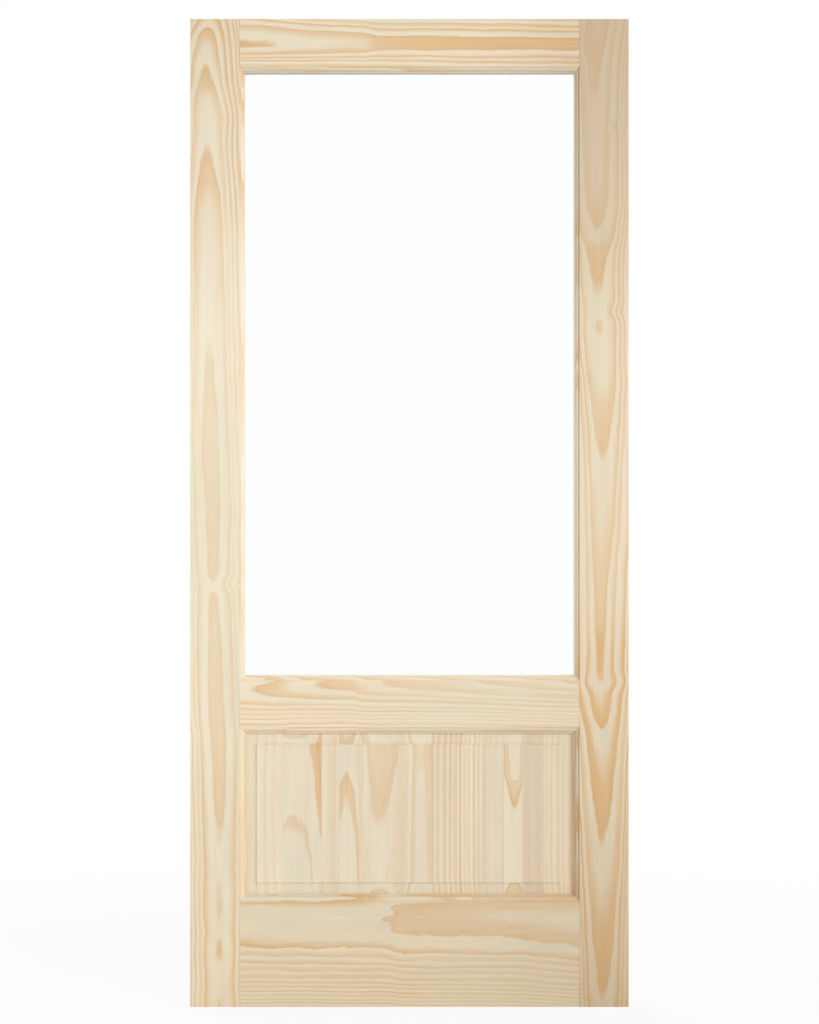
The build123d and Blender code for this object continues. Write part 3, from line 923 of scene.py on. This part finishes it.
def silicone(name):
    """Pale clear-cured sealant, faintly clouded."""
    g = new_material(name)
    place = g.add("ShaderNodeTexCoord").outputs["Object"]
    cloud = g.noise(g.scaled(place, 60.0), 2.0)
    tone = g.mix(cloud.smooth(-0.2, 0.3), linear(247, 243, 235), linear(251, 249, 244))
    shader = g.add(
        "ShaderNodeBsdfPrincipled", None, {"Base Color": tone, "Roughness": 0.35, "Coat Weight": 0.3}
    )
    return g.finish(shader)


class DOOR_OT_hidden_parts(bpy.types.Operator):
    """Finishes the dowels, brads, blocks and pads inside the joints"""

    bl_idname = "door.hidden_parts"
    bl_label = "Dowels, brads and blocks"

    def execute(self, context):
        looks = leaf_settings()
        for number, rail in enumerate(RAIL_NODES):
            low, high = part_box(f"{rail}_dowels")
            heart_height = low.z - 0.05
            board = Board(
                upright=False,
                heart=[(low.x, heart_height), (high.x, heart_height)],
                rings=[(low.x, 0.1), (high.x, 0.6)],
                ring_width=2.5 * MILLIMETRE,
                strength=((low.x, 0.4), (high.x, 0.4)),
                shade=((low.x, 0.92), (high.x, 0.92)),
                seed=80.0 + number,
            )
            dress(f"{rail}_dowels", pine(f"{rail}_dowels", board, looks))
        dress("bead_brads", plain("bright_wire", linear(190, 188, 184), 0.3, metallic=1.0, size=2000.0))
        rubber = plain("hard_rubber", linear(45, 45, 46), 0.7)
        for node in ("setting_blocks", "panel_pads"):
            dress(node, rubber)
        return {"FINISHED"}


class DOOR_OT_stage(bpy.types.Operator):
    """Sets the floor, the lamps, the background and the camera"""

    bl_idname = "door.stage"
    bl_label = "Stage"

    def execute(self, context):
        make_floor(floor_material())
        white_background()
        sun("key", KEY_SIDE, leaf_settings().key_strength)
        sun("back_key", BACK_KEY_SIDE, leaf_settings().key_strength)
        make_camera()
        context.scene.view_settings.view_transform = "Standard"
        return {"FINISHED"}


def seen_directly(g):
    """1 for rays that show the background and 0 for rays that light the leaf."""
    path = g.add("ShaderNodeLightPath")
    names = ("Is Camera Ray", "Is Glossy Ray", "Is Transmission Ray")
    camera, glossy, transmitted = (Value(g, path.outputs[name]) for name in names)
    return camera.math("MAXIMUM", glossy).math("MAXIMUM", transmitted)


def floor_material():
    """White floor: nearly all its own light where it is looked at, so that its shadows stay pale."""
    g = new_material("studio_floor")
    seen = seen_directly(g)
    spot = g.add("ShaderNodeSeparateXYZ", None, {0: g.add("ShaderNodeTexCoord").outputs["Object"]})
    x, y = Value(g, spot.outputs[0]), Value(g, spot.outputs[1])
    near, away = 0.8, 2.4
    far = ((x * x + y * y) ** 0.5).smooth(near, away)
    paper = g.add("ShaderNodeBsdfDiffuse", None, {"Color": FLOOR_TONE})
    glow = g.add("ShaderNodeEmission", None, {"Color": WHITE, "Strength": 1.0})
    glowing = far * (1 - FLOOR_GLOW) + FLOOR_GLOW
    shown = g.add("ShaderNodeMixShader", None, {0: glowing, 1: paper.outputs[0], 2: glow.outputs[0]})
    floor = g.add("ShaderNodeMixShader", None, {0: seen, 1: paper.outputs[0], 2: shown.outputs[0]})
    return g.finish(floor)


def make_floor(material):
    """A round floor: rings of points at growing radii, with the radius growing as a square."""
    rings, spokes, radius, drop = 12, 64, 14.0, 0.2 * MILLIMETRE
    ring, spoke = np.meshgrid(np.arange(1, rings + 1), np.arange(spokes), indexing="ij")
    reach = radius * (ring / rings) ** 2
    angle = 2 * np.pi * spoke / spokes
    points = np.stack((reach * np.cos(angle), reach * np.sin(angle), 0 * reach), axis=-1).reshape(-1, 3)
    points = np.vstack((points, (0, 0, 0)))
    row, column = np.meshgrid(np.arange(rings - 1), np.arange(spokes), indexing="ij")
    after = (column + 1) % spokes
    quads = np.stack(
        (row * spokes + column, (row + 1) * spokes + column, (row + 1) * spokes + after,
         row * spokes + after), axis=-1,
    ).reshape(-1, 4)
    centre = np.full(spokes, rings * spokes)
    fan = np.stack((centre, np.arange(spokes), (np.arange(spokes) + 1) % spokes), axis=-1)
    mesh = bpy.data.meshes.new("floor")
    mesh.from_pydata(points.tolist(), [], quads.tolist() + fan.tolist())
    floor = bpy.data.objects.new("floor", mesh)
    bpy.context.scene.collection.objects.link(floor)
    floor.location.z = -drop
    mesh.materials.append(material)


def white_background():
    """White where the world is looked at, and a soft even light on the leaf."""
    world = bpy.data.worlds.new("studio")
    bpy.context.scene.world = world
    g = Graph(world)
    light = g.add("ShaderNodeBackground", None, {"Color": SKY_TONE, "Strength": SKY_STRENGTH})
    paper = g.add("ShaderNodeBackground", None, {"Color": WHITE, "Strength": 1.0})
    seen = seen_directly(g)
    mixed = g.add("ShaderNodeMixShader", None, {0: seen, 1: light.outputs[0], 2: paper.outputs[0]})
    g.finish(mixed, "ShaderNodeOutputWorld")


def aim(piece, place, target):
    """Puts a lamp or camera at a place and turns it to look at a target."""
    piece.location = place
    piece.rotation_euler = (Vector(target) - Vector(place)).to_track_quat("-Z", "Y").to_euler()


def sun(name, towards, strength):
    """A broad soft sun, shining from the side that the vector points to."""
    data = bpy.data.lights.new(name, "SUN")
    data.angle = SUN_BREADTH
    data.energy = strength
    piece = bpy.data.objects.new(name, data)
    bpy.context.scene.collection.objects.link(piece)
    aim(piece, towards, (0, 0, 0))


def make_camera():
    """A camera square on to the leaf, at the distance that its perspective shows."""
    data = bpy.data.cameras.new("camera")
    data.sensor_width = SENSOR_WIDTH
    data.lens = LENS
    data.clip_end = 100.0
    piece = bpy.data.objects.new("camera", data)
    bpy.context.scene.collection.objects.link(piece)
    aim(piece, (0.0, FRONT - CAMERA_DISTANCE, EYE_HEIGHT), (0.0, 0.0, EYE_HEIGHT))
    bpy.context.scene.camera = piece


class DOOR_PT_leaf(bpy.types.Panel):
    """Lists the leaf's finishes and pieces"""

    bl_idname = "DOOR_PT_leaf"
    bl_label = "Door leaf"
    bl_space_type = "VIEW_3D"
    bl_region_type = "UI"
    bl_category = "Door leaf"

    def draw(self, context):
        for name in DoorLeafSettings.__annotations__:
            self.layout.prop(context.scene.door_leaf, name)
        for operator in OPERATORS:
            self.layout.operator(operator.bl_idname)


OPERATORS = (
    DOOR_OT_frame_members,
    DOOR_OT_panel,
    DOOR_OT_beads,
    DOOR_OT_glazing,
    DOOR_OT_sealant_toe,
    DOOR_OT_hidden_parts,
    DOOR_OT_stage,
)
CLASSES = (DoorLeafSettings, *OPERATORS, DOOR_PT_leaf)


def register():
    for each in CLASSES:
        bpy.utils.register_class(each)
    bpy.types.Scene.door_leaf = bpy.props.PointerProperty(type=DoorLeafSettings)


def unregister():
    del bpy.types.Scene.door_leaf
    for each in reversed(CLASSES):
        bpy.utils.unregister_class(each)


def main():
    register()
    for operator in OPERATORS:
        group, action = operator.bl_idname.split(".")
        getattr(getattr(bpy.ops, group), action)()


if __name__ == "__main__":
    main()
